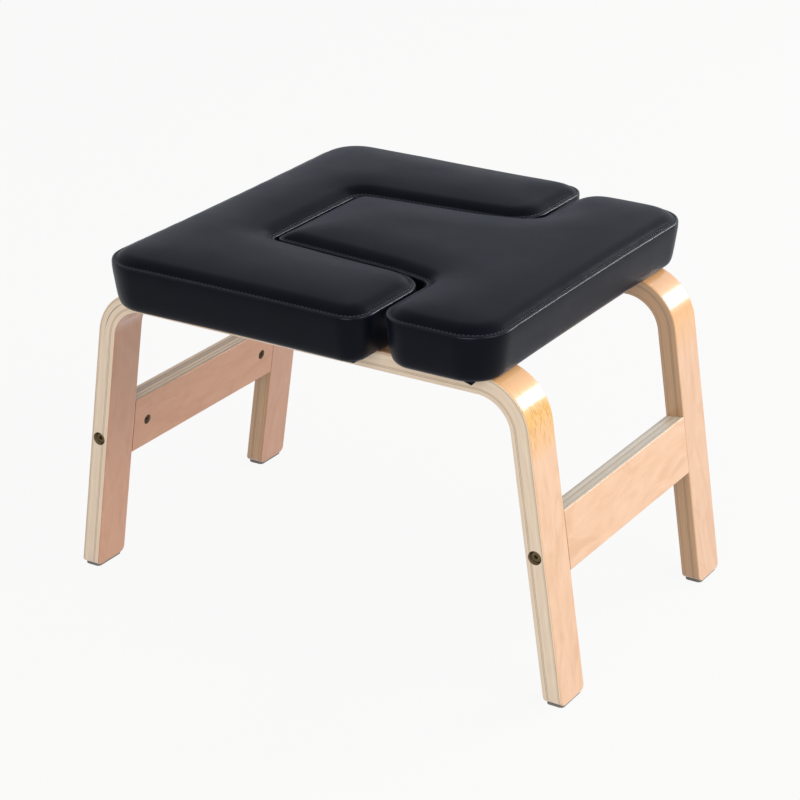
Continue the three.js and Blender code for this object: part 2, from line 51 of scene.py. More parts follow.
# Bentwood frames
# Each is one strip of birch veneers, glued and pressed hot round a former, then sawn to width,
# sanded round along its edges and sprayed with clear lacquer. One stands in front, one behind.
ply_thickness = 0.020
ply_count = 13
edge_round = 0.0015
edge_support = 0.0006
bend_radius = 0.036
splay = math.radians(8.4)
foot_corner = 0.006
bend_steps = 40
leg_steps = 12
edge_steps = 5
counterbore_radius = 0.007
counterbore_depth = 0.007
bolt_hole_radius = 0.0035
cut_overrun = 0.002
bore_skin = 0.001
hole_sides = 48
joined_within = 0.00001

front_low, front_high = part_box("front_bentwood_frame")
back_low, back_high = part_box("back_bentwood_frame")
frame_top = front_high.z
foot_cut = front_low.z
foot_reach = front_high.x
strip_width = front_high.y - front_low.y
outer_bend = bend_radius + ply_thickness
bend_centre_z = frame_top - outer_bend
leg_slope = math.tan(splay)


def leg_outer_x(z):
    return foot_reach - (z - foot_cut) * leg_slope


bend_centre_x = leg_outer_x(bend_centre_z) - outer_bend / math.cos(splay)
leg_top_z = bend_centre_z + outer_bend * math.sin(splay)
rail_low, rail_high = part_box("right_side_rail")
rail_centre_z = (rail_low.z + rail_high.z) / 2
rail_centre_x = (rail_low.x + rail_high.x) / 2


def mesh_piece(name, vertices, faces, edges=()):
    mesh = bpy.data.meshes.new(name)
    mesh.from_pydata(vertices, edges, faces)
    made = bpy.data.objects.new(name, mesh)
    scene.collection.objects.link(made)
    return made


def soften(piece, angle=35):
    """Smooth faces, with edges sharper than the angle left sharp."""
    piece.data.polygons.foreach_set("use_smooth", [True] * len(piece.data.polygons))
    piece.data.set_sharp_from_angle(angle=math.radians(angle))
    return piece


def settle(piece):
    """Makes what a piece's modifiers do part of its mesh."""
    depsgraph = bpy.context.evaluated_depsgraph_get()
    finished = bpy.data.meshes.new_from_object(piece.evaluated_get(depsgraph))
    piece.modifiers.clear()
    piece.data = finished
    finished.name = piece.name
    return piece


def tidied(piece):
    """Joins doubled points, drops loose ones and turns every face outwards."""
    tidy = bmesh.new()
    tidy.from_mesh(piece.data)
    loose = [vertex for vertex in tidy.verts if not vertex.link_faces]
    bmesh.ops.delete(tidy, geom=loose, context="VERTS")
    bmesh.ops.remove_doubles(tidy, verts=tidy.verts, dist=joined_within)
    bmesh.ops.recalc_face_normals(tidy, faces=tidy.faces)
    tidy.to_mesh(piece.data)
    tidy.free()
    piece.data.update()
    return piece


def finished_in(finish, *pieces):
    """Gives pieces one finish in place of any that they had."""
    for piece in pieces:
        piece.data.materials.clear()
        piece.data.materials.append(finish)


def band_faces(lower, upper, count):
    """Faces between two rings of points, numbered on from lower and from upper."""
    pairs = [(k, (k + 1) % count) for k in range(count)]
    return [(lower + k, lower + after, upper + after, upper + k) for k, after in pairs]


def lofted(name, rings):
    """A solid piece through like rings of points, with a flat face at each end."""
    count = len(rings[0])
    last = (len(rings) - 1) * count
    faces = [list(range(count))[::-1], list(range(last, last + count))]
    for start in range(0, last, count):
        faces += band_faces(start, start + count, count)
    return tidied(mesh_piece(name, [point for ring in rings for point in ring], faces))


def bar_along(radius, start, end):
    """A plain round bar between two points, to bore with."""
    reach = Vector(end) - Vector(start)
    place = Matrix.Translation(start) @ reach.to_track_quat("Z", "Y").to_matrix().to_4x4()
    turns = [2 * math.pi * k / hole_sides for k in range(hole_sides)]
    return lofted("cutter", [
        [place @ Vector((radius * math.cos(turn), radius * math.sin(turn), z)) for turn in turns]
        for z in (0, reach.length)
    ])


def bored(piece, cutters):
    """Cuts the cutters out of a piece and removes them."""
    for cutter in cutters:
        cut = piece.modifiers.new("bore", "BOOLEAN")
        cut.operation = "DIFFERENCE"
        cut.solver = "EXACT"
        cut.object = cutter
    settle(piece)
    for cutter in cutters:
        bpy.data.objects.remove(cutter)


def rounded_section(low, high, radius):
    """Points round a board's section, with one beside each end of a corner to keep the flats flat."""
    near_x, near_y = low[0] + radius, low[1] + radius
    far_x, far_y = high[0] - radius, high[1] - radius
    corners = ((near_x, near_y, 180), (far_x, near_y, 270), (far_x, far_y, 0), (near_x, far_y, 90))
    points = []
    for x, y, first in corners:
        for k in range(-1, edge_steps + 2):
            turn = math.radians(first + 90 * min(max(k, 0), edge_steps) / edge_steps)
            beyond = edge_support if k > edge_steps else -edge_support if k < 0 else 0
            points.append((x + radius * math.cos(turn) - beyond * math.sin(turn),
                           y + radius * math.sin(turn) + beyond * math.cos(turn)))
    return points


def strip_stations():
    """Stations along the strip: outer point, bearing, slant of the cut and loss of half width."""
    leg_length = (leg_top_z - foot_cut) / math.cos(splay)
    near_foot = [foot_corner * share for share in (0, 0.06, 0.16, 0.32, 0.52, 0.76, 1)]
    rest = [foot_corner + (leg_length - foot_corner) * k / leg_steps for k in range(1, leg_steps)]
    right = []
    for up in near_foot + rest:
        x = leg_outer_x(foot_cut) - up * math.sin(splay)
        z = foot_cut + up * math.cos(splay)
        under = max(foot_corner - up, 0)
        loss = foot_corner - math.sqrt(foot_corner ** 2 - under ** 2)
        right.append((x, z, splay, 1 - up / leg_length, loss))
    for k in range(bend_steps + 1):
        bearing = splay + (math.pi / 2 - splay) * k / bend_steps
        x = bend_centre_x + outer_bend * math.cos(bearing)
        z = bend_centre_z + outer_bend * math.sin(bearing)
        right.append((x, z, bearing, 0, 0))
    left = [(-x, z, math.pi - bearing, -slant, loss) for x, z, bearing, slant, loss in reversed(right)]
    return right + left


def bentwood_strip(name, middle_y):
    section = rounded_section((0, -strip_width / 2), (ply_thickness, strip_width / 2), edge_round)
    rings = []
    for x, z, bearing, slant, loss in strip_stations():
        ring = []
        for depth, across in section:
            shift = depth * leg_slope * slant
            ring.append((
                x - depth * math.cos(bearing) - shift * math.sin(bearing),
                middle_y + across - math.copysign(loss, across),
                z - depth * math.sin(bearing) + shift * math.cos(bearing),
            ))
        rings.append(ring)
    return lofted(name, rings)


def lay_grain(piece, place_of):
    """Stores each vertex's place in the wood: along the grain, across the face, under the face."""
    places = np.array([place_of(vertex.co) for vertex in piece.data.vertices], np.float32)
    layer = piece.data.attributes.new("wood_place", "FLOAT_VECTOR", "POINT")
    layer.data.foreach_set("vector", places.ravel())


def strip_place(point):
    side = math.copysign(1, point.x)
    x = abs(point.x) - bend_centre_x
    z = point.z - bend_centre_z
    bearing = math.atan2(z, x)
    if x <= 0 and z > 0:
        return (point.x, point.y, frame_top - point.z)
    along = bend_centre_x + (bend_radius + ply_thickness / 2) * (math.pi / 2 - max(bearing, splay))
    if bearing >= splay:
        return (side * along, point.y, outer_bend - math.hypot(x, z))
    down = (bend_centre_z - point.z) / math.cos(splay)
    depth = (leg_outer_x(point.z) - abs(point.x)) * math.cos(splay)
    return (side * (along + down), point.y, depth)


class Nodes:
    """A node tree whose nodes are added and joined in one line each."""

    def __init__(self, tree):
        self.nodes = tree.nodes
        self.links = tree.links

    def add(self, kind, settings=None, **inputs):
        made = self.nodes.new(kind)
        for key, value in (settings or {}).items():
            setattr(made, key, value)
        for key, value in inputs.items():
            self.set(made, key.replace("_", " "), value)
        return made

    def set(self, node, key, value):
        socket = node.inputs[int(key)] if key.isdigit() else node.inputs[key]
        if isinstance(value, bpy.types.NodeSocket):
            self.links.new(value, socket)
        elif socket.type == "RGBA" and len(value) == 3:
            socket.default_value = (*value, 1)
        else:
            socket.default_value = value


class Finish(Nodes):
    """A material, with short ways to make its patterns."""

    def __init__(self, name):
        self.material = bpy.data.materials.new(name)
        self.material.use_nodes = True
        super().__init__(self.material.node_tree)
        self.shader = self.nodes["Principled BSDF"]

    def place(self):
        return self.add("ShaderNodeTexCoord").outputs["Object"]

    def noise(self, place, scale, stretch=None, **settings):
        """Noise at a place, which can be stretched first."""
        if stretch:
            place = self.add("ShaderNodeMapping", Vector=place, Scale=stretch).outputs[0]
        return self.add("ShaderNodeTexNoise", Vector=place, Scale=scale, **settings).outputs[0]

    def chance(self, number):
        return self.add("ShaderNodeTexWhiteNoise", {"noise_dimensions": "1D"}, W=number).outputs[0]

    def sum(self, operation, first, second=None, third=None):
        made = self.nodes.new("ShaderNodeMath")
        made.operation = operation
        for k, value in enumerate((first, second, third)):
            if value is not None:
                self.set(made, str(k), value)
        return made.outputs[0]

    def times(self, first, second):
        return self.sum("MULTIPLY", first, second)

    def blend(self, share, first, second, mode="MIX"):
        made = self.nodes.new("ShaderNodeMix")
        made.data_type = "RGBA"
        made.blend_type = mode
        for socket, value in (("0", share), ("6", first), ("7", second)):
            self.set(made, socket, value)
        return made.outputs[2]

    def tint(self, colour, by):
        return self.blend(1.0, colour, by, "MULTIPLY")

    def ramp(self, value, stops):
        made = self.nodes.new("ShaderNodeValToRGB")
        self.links.new(value, made.inputs[0])
        while len(made.color_ramp.elements) < len(stops):
            made.color_ramp.elements.new(0.5)
        for element, (position, colour) in zip(made.color_ramp.elements, stops):
            element.position = position
            element.color = (*colour, 1) if isinstance(colour, tuple) else (colour,) * 3 + (1,)
        return made.outputs[0]

    def near(self, value, middle, full, none, most=1.0):
        """The most within full of the middle, falling to nothing at none."""
        away = self.sum("ABSOLUTE", self.sum("SUBTRACT", value, middle))
        return self.ramp(away, [(full, most), (none, 0.0)])

    def bump(self, height, strength, distance):
        bumps = self.add("ShaderNodeBump", Strength=strength, Distance=distance, Height=height)
        self.set(self.shader, "Normal", bumps.outputs[0])

    def look(self, **inputs):
        for key, value in inputs.items():
            self.set(self.shader, key.replace("_", " "), value)
        return self.material


millimetres = 1000
bend_place = 0.222
# Where the golden figure and its painted warm reflection sit along the strip
figure_and_reflection_place = 0.245
crack_place = 0.232
crack_depth = 0.0078
glue_waver = 0.0008
first_line = 40.5
veneer_tones = [
    (0.30, (0.78, 0.445, 0.240)), (0.50, (0.85, 0.515, 0.300)), (0.72, (0.89, 0.565, 0.350)),
]
ply_tones = [(0.0, (0.76, 0.60, 0.43)), (0.35, (0.87, 0.71, 0.54)), (1.0, (0.93, 0.79, 0.63))]
# Tint of the inner veneer: partly its own browner tone, partly painted shade for the shade under the
# seat
inner_veneer_shade_tint = (0.75, 0.57, 0.48)
bend_tone = (0.90, 0.49, 0.205)
# Golden figure tone, which also paints a warm reflection
figure_and_reflection_tone = (0.88, 0.50, 0.11)
vein_tone = (0.66, 0.30, 0.05)
glue_tone = (0.22, 0.13, 0.07)
crack_tone = (0.10, 0.06, 0.035)


def lacquered_birch(name, seed, edge_tint_and_painted_light, line_depth, line_share, line_width=0.10,
                    face_shade_tint=(1, 1, 1), figure_and_reflection_depth=0, gloss=0.14):
    """Face veneers warm and faintly clouded, ply edges paler with thin brown glue lines."""
    wood = Finish(name)
    place = wood.add("ShaderNodeAttribute", {"attribute_name": "wood_place"}).outputs["Vector"]
    along, _, depth = wood.add("ShaderNodeSeparateXYZ", Vector=place).outputs
    moved = wood.add("ShaderNodeMapping", Vector=place, Location=(seed, 0, 0)).outputs[0]
    streaks = wood.noise(moved, 6.0, (6, 90, 90), Detail=5.0, Roughness=0.6)
    clouds = wood.noise(moved, 1.6, (8, 24, 24), Detail=3.0, Distortion=2.0)
    flames = wood.noise(moved, 1.5, (55, 210, 20), Detail=3.0, Distortion=1.6)
    inner = wood.sum("GREATER_THAN", depth, ply_thickness / 2)
    outer = wood.sum("SUBTRACT", 1.0, inner)

    # The face veneers: the inner one browner, partly its own tone and partly painted shade, the outer
    # one warmer round the bends
    veneer = wood.ramp(clouds, veneer_tones)
    veneer = wood.tint(veneer, wood.ramp(streaks, [(0.35, 0.955), (0.62, 1.0)]))
    veneer = wood.blend(inner, veneer, wood.tint(veneer, inner_veneer_shade_tint))
    near_bend = wood.near(wood.sum("ABSOLUTE", along), bend_place, 0.024, 0.055, 0.8)
    veneer = wood.blend(wood.times(near_bend, outer), veneer, bend_tone)

    # Curly golden figure on the outer veneer, low on the right bend: partly figure, partly a painted
    # warm reflection beside the bend's highlight
    figure_and_reflection = wood.times(wood.near(along, figure_and_reflection_place, 0.004, 0.030), wood.times(outer, figure_and_reflection_depth))
    golden_reflection = wood.times(figure_and_reflection, wood.ramp(flames, [(0.38, 0.2), (0.50, 1.0)]))
    vein = wood.times(figure_and_reflection, wood.ramp(flames, [(0.51, 0.0), (0.60, 0.9)]))
    veneer = wood.blend(vein, wood.blend(golden_reflection, veneer, figure_and_reflection_tone), vein_tone)
    veneer = wood.tint(veneer, face_shade_tint)

    # The edges of the plies, each in its own tone, then tinted: darker on the back frame as painted
    # shade, lighter on the right rail as painted light
    waver = wood.times(wood.sum("SUBTRACT", clouds, 0.5), glue_waver)
    wavering = wood.sum("ADD", depth, waver)
    layer = wood.sum("ADD", wood.sum("DIVIDE", wavering, ply_thickness / ply_count), seed)
    plies = wood.ramp(wood.chance(wood.sum("FLOOR", layer)), ply_tones)
    plies = wood.tint(plies, wood.ramp(streaks, [(0.30, 0.86), (0.65, 1.0)]))
    plies = wood.tint(plies, edge_tint_and_painted_light)

    # Glue lines, a few of them dark
    half_on = wood.sum("ADD", layer, 0.5)
    line_chance = wood.chance(wood.sum("ADD", wood.sum("FLOOR", half_on), first_line))
    pale_share = 1 - line_share
    darkness = wood.ramp(line_chance, [(pale_share, 0.12), (pale_share + 0.15, 1.0)])
    on_line = wood.near(wood.sum("FRACT", half_on), 0.5, line_width, line_width + 0.14)
    line = wood.times(wood.times(on_line, darkness), line_depth)
    plies = wood.blend(line, plies, glue_tone)

    # A short open glue line in the left bend
    near_crack = wood.near(along, -crack_place, 0.012, 0.022, 0.8)
    deep = wood.times(wavering, millimetres)
    on_crack = wood.near(deep, crack_depth * millimetres, 0.25, 0.55)
    plies = wood.blend(wood.times(near_crack, on_crack), plies, crack_tone)

    from_face = wood.sum("MINIMUM", depth, wood.sum("SUBTRACT", ply_thickness, depth))
    is_edge = wood.ramp(wood.times(from_face, millimetres), [(0.35, 0.0), (0.85, 1.0)])
    wood.bump(streaks, 0.08, 0.0004)
    return wood.look(
        Base_Color=wood.blend(is_edge, veneer, plies), Roughness=0.34,
        Coat_Weight=1.0, Coat_Roughness=gloss, Coat_IOR=1.5,
    )


def flecked(name, tones, scale, detail, roughness, stretch=None, bump=None, fray=0.5, **look):
    """A finish whose colour and height follow one fine noise."""
    made = Finish(name)
    flecks = made.noise(made.place(), scale, stretch, Detail=detail, Roughness=fray)
    if bump:
        made.bump(flecks, *bump)
    return made.look(Base_Color=made.ramp(flecks, tones), Roughness=roughness, **look)


def show_bores(piece, in_bore):
    """Gives the faces whose middles lie in a bore the look of bored wood, darkened by painted shade."""
    piece.data.materials.append(bore_shade_finish)
    for polygon in piece.data.polygons:
        if in_bore(polygon.center):
            polygon.material_index = len(piece.data.materials) - 1


# Bore walls: partly darker end grain, partly painted shade inside the holes
bore_tones_with_shade = [(0.3, (0.20, 0.14, 0.075)), (0.7, (0.34, 0.25, 0.15))]
bore_shade_finish = flecked("drilled_birch_with_painted_shade", bore_tones_with_shade, 900.0, 3.0, 0.7)
birch_lots = {
    "front": dict(seed=3, edge_tint_and_painted_light=(1.02, 1.0, 0.97), line_depth=0.60, line_share=0.36,
                  figure_and_reflection_depth=1.0),
    # The back frame's edges and faces are tinted darker: painted shade
    "back": dict(seed=8, edge_tint_and_painted_light=(0.61, 0.44, 0.29), line_depth=0.85, line_share=0.42,
                 figure_and_reflection_depth=0.3, face_shade_tint=(0.93, 0.91, 0.91)),
}
for end, name, low, high in ((-1, "front", front_low, front_high), (1, "back", back_low, back_high)):
    strip = bentwood_strip(name + "_bent_strip", (low.y + high.y) / 2)
    outer_y = low.y if end < 0 else high.y
    cutters = []
    for side in (-1, 1):
        x = side * rail_centre_x
        outside = (x, outer_y + end * cut_overrun, rail_centre_z)
        floor_of_bore = (x, outer_y - end * counterbore_depth, rail_centre_z)
        through = (x, outer_y - end * (strip_width + cut_overrun), rail_centre_z)
        cutters.append(bar_along(counterbore_radius, outside, floor_of_bore))
        cutters.append(bar_along(bolt_hole_radius, outside, through))
    for side_name in ("left", "right"):
        washer_low, washer_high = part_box(name + "_" + side_name + "_pad_washer")
        x, y, _ = (washer_low + washer_high) / 2
        under = (x, y, frame_top - ply_thickness - cut_overrun)
        over = (x, y, frame_top + cut_overrun)
        cutters.append(bar_along(bolt_hole_radius, under, over))
    bored(strip, cutters)
    lay_grain(strip, strip_place)
    soften(strip)
    finished_in(lacquered_birch(name + "_frame_birch", **birch_lots[name]), strip)

    def in_bolt_bore(point):
        from_axis = math.hypot(abs(point.x) - rail_centre_x, point.z - rail_centre_z)
        deep = end * (outer_y - point.y)
        return from_axis < counterbore_radius and bore_skin < deep < strip_width - bore_skin

    show_bores(strip, in_bolt_bore)
    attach(strip, "stool")
    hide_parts(name + "_bentwood_frame")

# Side rails
# A straight board of the same plywood on each side, set at the slant of the legs. Its inner face
# has a blind hole near each end for the barrel nut, and its top edge shows the plies.
rail_height = 0.060
rail_edge_round = 0.0008
barrel_hole_radius = 0.0053
barrel_setback = 0.022
barrel_hole_depth = 0.016

rail_end = rail_high.y
rail_lots = {
    "left": dict(seed=21, edge_tint_and_painted_light=(0.98, 0.92, 0.84), line_depth=1.0, line_share=0.5, line_width=0.20),
    # The right rail's edge is tinted lighter: painted light where the seat keeps the lamps off it
    "right": dict(seed=34, edge_tint_and_painted_light=(1.07, 1.18, 1.26), line_depth=0.9, line_share=0.4),
}
rail_gloss = 0.40
half_thickness = ply_thickness / 2
rail_corner = (half_thickness, rail_height / 2)
section = rounded_section((-half_thickness, -rail_height / 2), rail_corner, rail_edge_round)
for side, name in ((-1, "left"), (1, "right")):
    rings = [[(x, y, z) for x, z in section] for y in (-rail_end, rail_end)]
    board = lofted(name + "_rail_board", rings)
    cutters = []
    for end in (-1, 1):
        y = end * (rail_end - barrel_setback)
        outside = (-side * (half_thickness + cut_overrun), y, 0)
        floor_of_bore = (-side * (half_thickness - barrel_hole_depth), y, 0)
        cutters.append(bar_along(barrel_hole_radius, outside, floor_of_bore))
    bored(board, cutters)
    finished_in(lacquered_birch(name + "_rail_birch", gloss=rail_gloss, **rail_lots[name]), board)

    def in_nut_bore(point):
        from_axis = math.hypot(abs(point.y) - rail_end + barrel_setback, point.z)
        return from_axis < barrel_hole_radius and abs(point.x) < half_thickness - bore_skin

    show_bores(board, in_nut_bore)
    lay_grain(board, lambda p: (p.y, p.z + side, half_thickness - side * p.x))
    slant = Matrix.Rotation(-side * splay, 4, "Y")
    board.data.transform(Matrix.Translation((side * rail_centre_x, 0, rail_centre_z)) @ slant)
    soften(board)
    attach(board, "stool")
    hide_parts(name + "_side_rail")

# Joint hardware
# A browned socket-head bolt from each leg screws into a zinc-plated barrel nut in the rail, between
# two beech dowels. Only the bolt's head in its bore and the slotted end of the nut can be seen.


def finish_nodes(finish, *names):
    """Gives the frame's own pieces, which stay as they are, their finish."""
    finished_in(finish, *(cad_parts[name] for name in names))


worn_shade = 0.8
worn_roughness = 1.35


def rough_metal(name, colour, roughness, scale):
    metal = Finish(name)
    speckle = metal.noise(metal.place(), scale, Detail=4.0)
    worn = metal.ramp(speckle, [(0.35, tuple(worn_shade * c for c in colour)), (0.65, colour)])
    shine = metal.ramp(speckle, [(0.3, roughness), (0.7, roughness * worn_roughness)])
    metal.bump(speckle, 0.05, 0.0002)
    return metal.look(Base_Color=worn, Metallic=1.0, Roughness=shine)


def raw_beech(name, grain):
    return flecked(name, beech_tones, 2.0, 4.0, 0.62, grain, (0.15, 0.0004))


beech_tones = [(0.35, (0.46, 0.28, 0.15)), (0.6, (0.66, 0.46, 0.28))]
browned_steel = rough_metal("browned_steel", (0.19, 0.14, 0.075), 0.48, 700.0)
# The nuts' zinc is painted dark brown: painted shade in their holes and a painted reflection of the wood
# round them
zinc_with_painted_shade = rough_metal("zinc_nut_painted_shade_and_reflection", (0.12, 0.085, 0.060), 0.50, 500.0)
grain_along_y = (260, 25, 260)
beech = raw_beech("beech_dowel", grain_along_y)
four_corners = [end + "_" + side for end in ("front", "back") for side in ("left", "right")]
for at in four_corners:
    finish_nodes(browned_steel, at + "_frame_bolt")
    finish_nodes(zinc_with_painted_shade, at + "_barrel_nut")
    finish_nodes(beech, at + "_lower_dowel", at + "_upper_dowel")

# Foot pads
# A stamped pad of dense grey felt is glued under each leg, a little smaller than the leg's end.
# Only its thin edge can be seen.
felt_tones = [(0.3, (0.13, 0.125, 0.12)), (0.7, (0.30, 0.29, 0.27))]
felt = flecked("dense_grey_felt", felt_tones, 1400.0, 6.0, 0.95, bump=(0.8, 0.0006), fray=0.7,
               Sheen_Weight=0.3)
finish_nodes(felt, *(at + "_foot_pad" for at in four_corners))

# U pad cover
# A sewn cover of black synthetic leather over firm foam on a plywood board. Its top panel and side
# band meet in a topstitched seam; the band is drawn down, pleated and stapled under the board.
side_bulge = 0.001
pad_side_height = 0.0455
shoulder_rise = 0.0046
shoulder_start = 0.0030
shoulder_run = 0.0120
shoulder_curve = 1.7
crown_rise = 0.0070
crown_run = 0.064
crown_curve = 2
side_draw_share = 0.004
left_corner_radius = 0.042
arm_corner_radius = 0.024
slot_mouth_radius = 0.036
slot_end_radius = 0.014
slot_depth = 0.193
slot_end_width = 0.160
slot_mouth_width = 0.194
least_radius = 0.0012
least_drawn_side = 0.18
arc_steps = 14
outline_pitch = 0.005
fill_pitch = 0.008
least_fill_gap = 0.6
least_fill_size = 1e-7
edge_samples = 5
fall_off = 4
fall_off_norm = 3 * math.pi / 8

u_low, u_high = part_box("u_pad_cushion")
pad_bottom = u_low.z
seat_left = u_low.x + side_bulge
arm_end = u_high.x - side_bulge
u_half_width = u_high.y - side_bulge
slot_end = arm_end - slot_depth


def corner(x, y, radius):
    return Vector((x, y)), radius


def mirrored(front):
    """Corners of the front side, then the same ones mirrored to the back."""
    back = [(Vector((point.x, -point.y)), radius) for point, radius in reversed(front)]
    return front + back


def cross(a, b):
    return a.x * b.y - a.y * b.x


def outline(corners, inset):
    """Points round the corners, moved inwards by inset, as many for every inset."""
    sides = []
    for (point, _), (after, _) in zip(corners, corners[1:] + corners[:1]):
        along = (after - point).normalized()
        inwards = Vector((-along.y, along.x))
        sides.append((along, inwards, point + inwards * inset, (after - point).length))
    arcs = []
    bends_out = []
    for k, (_, radius) in enumerate(corners):
        along, inwards, start, _ = sides[k - 1]
        along_after, _, start_after, _ = sides[k]
        turn = cross(along, along_after)
        outwards = math.copysign(1, turn)
        tip = start + along * (cross(start_after - start, along_after) / turn)
        radius = max(radius - outwards * inset, least_radius)
        angle = math.acos(max(-1, min(1, along.dot(along_after))))
        centre = tip - along * (radius * math.tan(angle / 2)) + inwards * (outwards * radius)
        first = math.atan2(-outwards * inwards.y, -outwards * inwards.x)
        turns = [first + outwards * angle * step / arc_steps for step in range(arc_steps + 1)]
        arcs.append([centre + Vector((math.cos(at), math.sin(at))) * radius for at in turns])
        bends_out.append(outwards > 0)
    points = []
    for k, arc in enumerate(arcs):
        _, inwards, _, length = sides[k]
        after = (k + 1) % len(arcs)
        drawn = bends_out[k] and bends_out[after] and length > least_drawn_side
        count = max(2, round(length / outline_pitch))
        points += arc
        for step in range(1, count):
            share = step / count
            draw = 4 * share * (1 - share) * side_draw_share * length if drawn else 0
            points.append(arc[-1].lerp(arcs[after][0], share) + inwards * draw)
    return points


def edge_distance(places, edge):
    """Distance of places from a closed edge: true near it, and without creases further in."""
    starts = np.array([tuple(p) for p in edge])
    runs = np.roll(starts, -1, axis=0) - starts
    shares = (np.arange(edge_samples) + 0.5) / edge_samples
    spots = (starts[:, None] + runs[:, None] * shares[None, :, None]).reshape(-1, 2)
    outwards = np.repeat(np.stack([runs[:, 1], -runs[:, 0]], 1) / edge_samples, edge_samples, 0)
    reach = spots[None] - np.array([tuple(p) for p in places])[:, None]
    flux = ((reach * outwards).sum(2) / (reach ** 2).sum(2) ** (fall_off / 2 + 1)).sum(1)
    return (fall_off_norm / flux) ** (1 / fall_off)


def fill_inside(rim, pitch):
    """Even triangles inside a closed rim: the new points, and corners numbered after the rim's."""
    count = len(rim)
    rim_array = np.array([tuple(p) for p in rim])
    low_x, low_y = rim_array.min(0)
    high_x, high_y = rim_array.max(0)
    inner = []
    for row in range(int((high_y - low_y) / pitch) + 1):
        for column in range(int((high_x - low_x) / pitch) + 1):
            x = low_x + (column + 0.5 * (row % 2)) * pitch
            y = low_y + row * pitch
            if np.min(np.hypot(rim_array[:, 0] - x, rim_array[:, 1] - y)) > least_fill_gap * pitch:
                inner.append(Vector((x, y)))
    rim_edges = [(k, (k + 1) % count) for k in range(count)]
    filled = geometry.delaunay_2d_cdt(list(rim) + inner, rim_edges, [], 1, least_fill_size)
    number = []
    added = []
    for place, sources in zip(filled[0], filled[3]):
        on_rim = sources and sources[0] < count
        number.append(sources[0] if on_rim else count + len(added))
        if not on_rim:
            added.append(place)
    return added, [tuple(number[v] for v in face) for face in filled[2]]


def crown_height(distance):
    """Height of the top over the board: a round shoulder next to the seam, then a slight dome."""
    near = min(max(distance - shoulder_start, 0) / shoulder_run, 1)
    far = min(distance / crown_run, 1)
    shoulder = shoulder_rise * (1 - (1 - near) ** shoulder_curve)
    return pad_side_height + shoulder + crown_rise * (1 - (1 - far) ** crown_curve)


flap_inset = 0.024
flap_thickness = 0.0006
board_pocket_inset = 0.0087
board_pocket_depth = 0.0123
band_profile = [
    (flap_inset, -flap_thickness), (0.0115, -flap_thickness), (0.0086, -0.0004), (0.0070, 0.0008),
    (0.0056, 0.0024), (0.0044, 0.0050), (0.0032, 0.0100), (0.0019, 0.0180), (0.0007, 0.0270),
    (-0.0003, 0.0340), (-0.0008, 0.0390), (-0.0009, 0.0425), (-0.0009, 0.0440),
]
seam_profile = [
    (-0.0007, 0.0450), (-0.0003, 0.0457), (0.0004, 0.0461), (0.0012, 0.0462), (0.0019, 0.0461),
    (0.0026, 0.0460), (0.0033, 0.0461), (0.0039, 0.0465), (0.0047, 0.0472), (0.0057, 0.0480),
]
crown_insets = (0.0070, 0.0088, 0.0110, 0.0136, 0.0166, 0.0200, 0.0240, 0.0300, 0.0375)
bead_rings = range(len(band_profile), len(band_profile) + 4)
stitch_ring = len(band_profile) + 6
stitch_lift = 0.0001
unevenness = 0.0004
unevenness_scale = 16
seam_waver = 0.00022
seam_waver_scale = 70
seam_reach = 0.006


def cushion(name, corners):
    """A crowned pad whose rings follow its outline, open below round its board."""
    edge = outline(corners, 0)
    count = len(edge)

    def level(inset, z):
        return [Vector((p.x, p.y, z)) for p in outline(corners, inset)]

    def crowned(places):
        return [Vector((p.x, p.y, crown_height(d))) for p, d in zip(places, edge_distance(places, edge))]

    rings = [level(inset, z) for inset, z in band_profile + seam_profile]
    rings += [crowned(outline(corners, inset)) for inset in crown_insets]
    vertices = [point for ring in rings for point in ring]
    rim_start = len(vertices) - count
    faces = []
    for start in range(0, rim_start, count):
        faces += band_faces(start, start + count, count)

    # The flat of the crown
    added, triangles = fill_inside([p.to_2d() for p in rings[-1]], fill_pitch)
    vertices += crowned(added)
    faces += [tuple(rim_start + v for v in face) for face in triangles]

    # The pocket round the board, and the top of the flap that is stapled under it
    pocket_rings = []
    for inset, z in ((flap_inset, 0), (board_pocket_inset, 0), (board_pocket_inset, board_pocket_depth)):
        pocket_rings.append(len(vertices))
        vertices += level(inset, z)
    for start, following in zip([0] + pocket_rings, pocket_rings):
        faces += band_faces(following, start, count)
    top = [pocket_rings[-1] + k for k in range(count)]
    flat_top = geometry.tessellate_polygon([[vertices[v] for v in top]])
    faces += [tuple(top[v] for v in face) for face in flat_top]

    # The cover is a little uneven over its foam, and its seam wavers
    for point in vertices[:pocket_rings[0]]:
        if point.z > pad_side_height:
            uneven = noise.noise(point * unevenness_scale)
            point.z += unevenness * uneven * min((point.z - pad_side_height) / shoulder_rise, 1)
        near_seam = max(0, 1 - abs(point.z - pad_side_height) / seam_reach)
        point += noise.noise_vector(point * seam_waver_scale) * (seam_waver * near_seam)

    made = mesh_piece(name, [(p.x, p.y, pad_bottom + p.z) for p in vertices], faces)
    on_bead = np.zeros(len(vertices), np.float32)
    for r in bead_rings:
        on_bead[r * count:(r + 1) * count] = 1
    made.data.attributes.new("seam_bead", "FLOAT", "POINT").data.foreach_set("value", on_bead)
    return made


swell_frames = 16
swell_settings = {
    "quality": 5, "mass": 0.4, "tension_stiffness": 60, "compression_stiffness": 60,
    "shear_stiffness": 20, "bending_stiffness": 4, "use_pressure": True,
    "uniform_pressure_force": 0.8, "vertex_group_mass": "held", "pin_stiffness": 0.6,
}
most_swell_up = 0.0015
most_swell_out = 0.0009
foam_hold = 0.22
seam_hold = 0.8
held_height = 0.006
smooth_passes = 12


